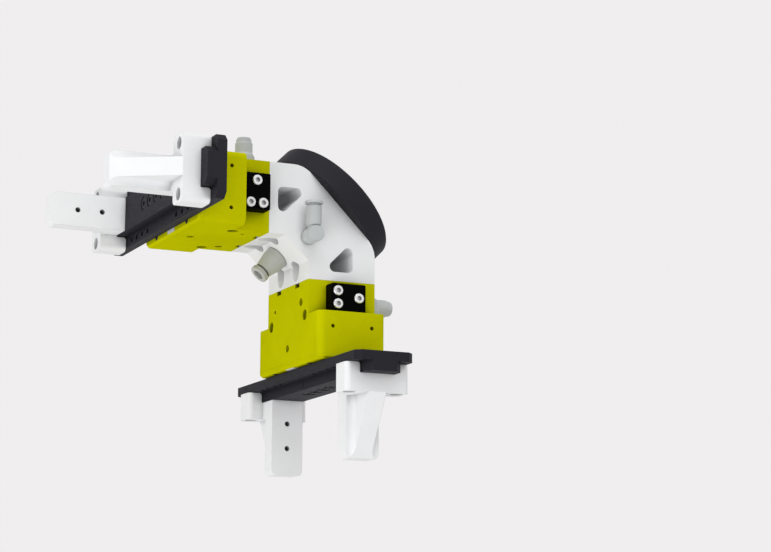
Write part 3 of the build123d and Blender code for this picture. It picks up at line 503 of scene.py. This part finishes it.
def add_side_fitting_details():
    """A sealing ring under each side fitting and the teeth inside its collar."""
    major, minor, seal_at = SIDE_SEAL
    for key, near in (("a", 1), ("b", -1)):
        up = v_direction(key)
        for side, u in (("near", PORT_U * near), ("far", -PORT_U * near)):
            base = in_gripper(key, u, HALF_T, PORT_W)
            ring(f"side_seal_{key}_{side}", base + up * seal_at, up, major, minor,
                 "frame", "seal")
            grip_teeth(f"side_teeth_{key}_{side}", base + up * SIDE_TEETH_AT, up, "frame")


def add_inner_fitting_details():
    """The same for the fitting on the bracket's inner chamfer."""
    away = -FLANGE_AXIS
    major, minor, seal_at = INNER_SEAL
    from_crossing = (2 * HALF_T + INNER_CHAMFER) / math.sqrt(2)
    base = away * (from_crossing - CROSSING * math.sqrt(2))
    ring("inner_seal", base + away * seal_at, away, major, minor, "frame", "seal")
    grip_teeth("inner_teeth", base + away * INNER_TEETH_AT, away, "frame")


def add_elbow_teeth():
    """The teeth inside the elbow's collar, which turn with the elbow."""
    at = CROSSING - ELBOW_BACK
    centre = Vector((at, ELBOW_ARM_Y, at + ELBOW_TEETH_AT))
    grip_teeth("elbow_teeth", centre, Vector((0.0, 0.0, 1.0)), "elbow")


add_stud_threads()
add_port_threads()
add_side_fitting_details()
add_inner_fitting_details()
add_elbow_teeth()


# Floor, lights and camera

def floor_material():
    """Matt pale grey with a very faint cloud in it."""
    made, tree, shader, coords = new_material("pale_floor")
    cloud = noise(tree, coords, 3.0, detail=2.0)
    tree.links.new(tint(tree, cloud, shade(PALE, 0.99), PALE), shader.inputs["Base Color"])
    shader.inputs["Roughness"].default_value = 0.9
    shader.inputs["Specular IOR Level"].default_value = 0.1
    return made


def add_floor():
    """A wide pale floor well below the object."""
    mesh = bpy.data.meshes.new("floor")
    half = FLOOR_SIZE / 2
    plan = ((-half, -half), (half, -half), (half, half), (-half, half))
    corners = [(x, y, FLOOR_Z) for x, y in plan]
    mesh.from_pydata(corners, [], [(0, 1, 2, 3)])
    floor = bpy.data.objects.new("floor", mesh)
    mesh.materials.append(floor_material())
    bpy.context.scene.collection.objects.link(floor)


def set_world(light_strength):
    """Soft even light all round, and the photograph's pale ground where the camera looks past."""
    world = bpy.data.worlds.new("studio")
    bpy.context.scene.world = world
    world.use_nodes = True
    tree = world.node_tree
    lit = tree.nodes["Background"]
    lit.inputs["Color"].default_value = (1.0, 1.0, 1.0, 1.0)
    lit.inputs["Strength"].default_value = light_strength
    seen = tree.nodes.new("ShaderNodeBackground")
    seen.inputs["Color"].default_value = (*PALE, 1.0)
    path = tree.nodes.new("ShaderNodeLightPath")
    direct = path.outputs["Is Camera Ray"]
    for kind in ("Is Glossy Ray", "Is Transmission Ray"):
        either = tree.nodes.new("ShaderNodeMath")
        either.operation = "MAXIMUM"
        tree.links.new(direct, either.inputs[0])
        tree.links.new(path.outputs[kind], either.inputs[1])
        direct = either.outputs[0]
    mix = tree.nodes.new("ShaderNodeMixShader")
    tree.links.new(direct, mix.inputs["Fac"])
    tree.links.new(lit.outputs["Background"], mix.inputs[1])
    tree.links.new(seen.outputs["Background"], mix.inputs[2])
    tree.links.new(mix.outputs["Shader"], tree.nodes["World Output"].inputs["Surface"])


def add_lamp(name, at, size, watts):
    """A soft square lamp aimed at the object's middle."""
    low, high = cad_box
    middle = (low + high) / 2
    lamp = bpy.data.lights.new(name, "AREA")
    lamp.size = size
    lamp.energy = watts
    holder = bpy.data.objects.new(name, lamp)
    holder.location = at
    holder.rotation_euler = (middle - Vector(at)).to_track_quat("-Z", "Y").to_euler()
    holder.visible_camera = False
    bpy.context.scene.collection.objects.link(holder)


def add_camera():
    """The photograph's camera, solved from the object's straight edges."""
    camera = bpy.data.cameras.new("camera")
    camera.lens = LENS_MM
    camera.sensor_width = SENSOR_MM
    camera.clip_start = 0.05
    camera.clip_end = 50.0
    holder = bpy.data.objects.new("camera", camera)
    turn = Matrix.Rotation(CAMERA_ROLL, 4, CAMERA_LOOK)
    aim = CAMERA_LOOK.to_track_quat("-Z", "Y").to_matrix().to_4x4()
    holder.matrix_world = Matrix.Translation(CAMERA_AT) @ turn @ aim
    bpy.context.scene.collection.objects.link(holder)
    bpy.context.scene.camera = holder


add_floor()
set_world(WORLD_STRENGTH)
add_lamp("key", KEY_AT, KEY_SIZE, KEY_WATTS)
add_lamp("top", TOP_AT, TOP_SIZE, TOP_WATTS)
add_camera()
bpy.context.scene.view_settings.view_transform = "Standard"
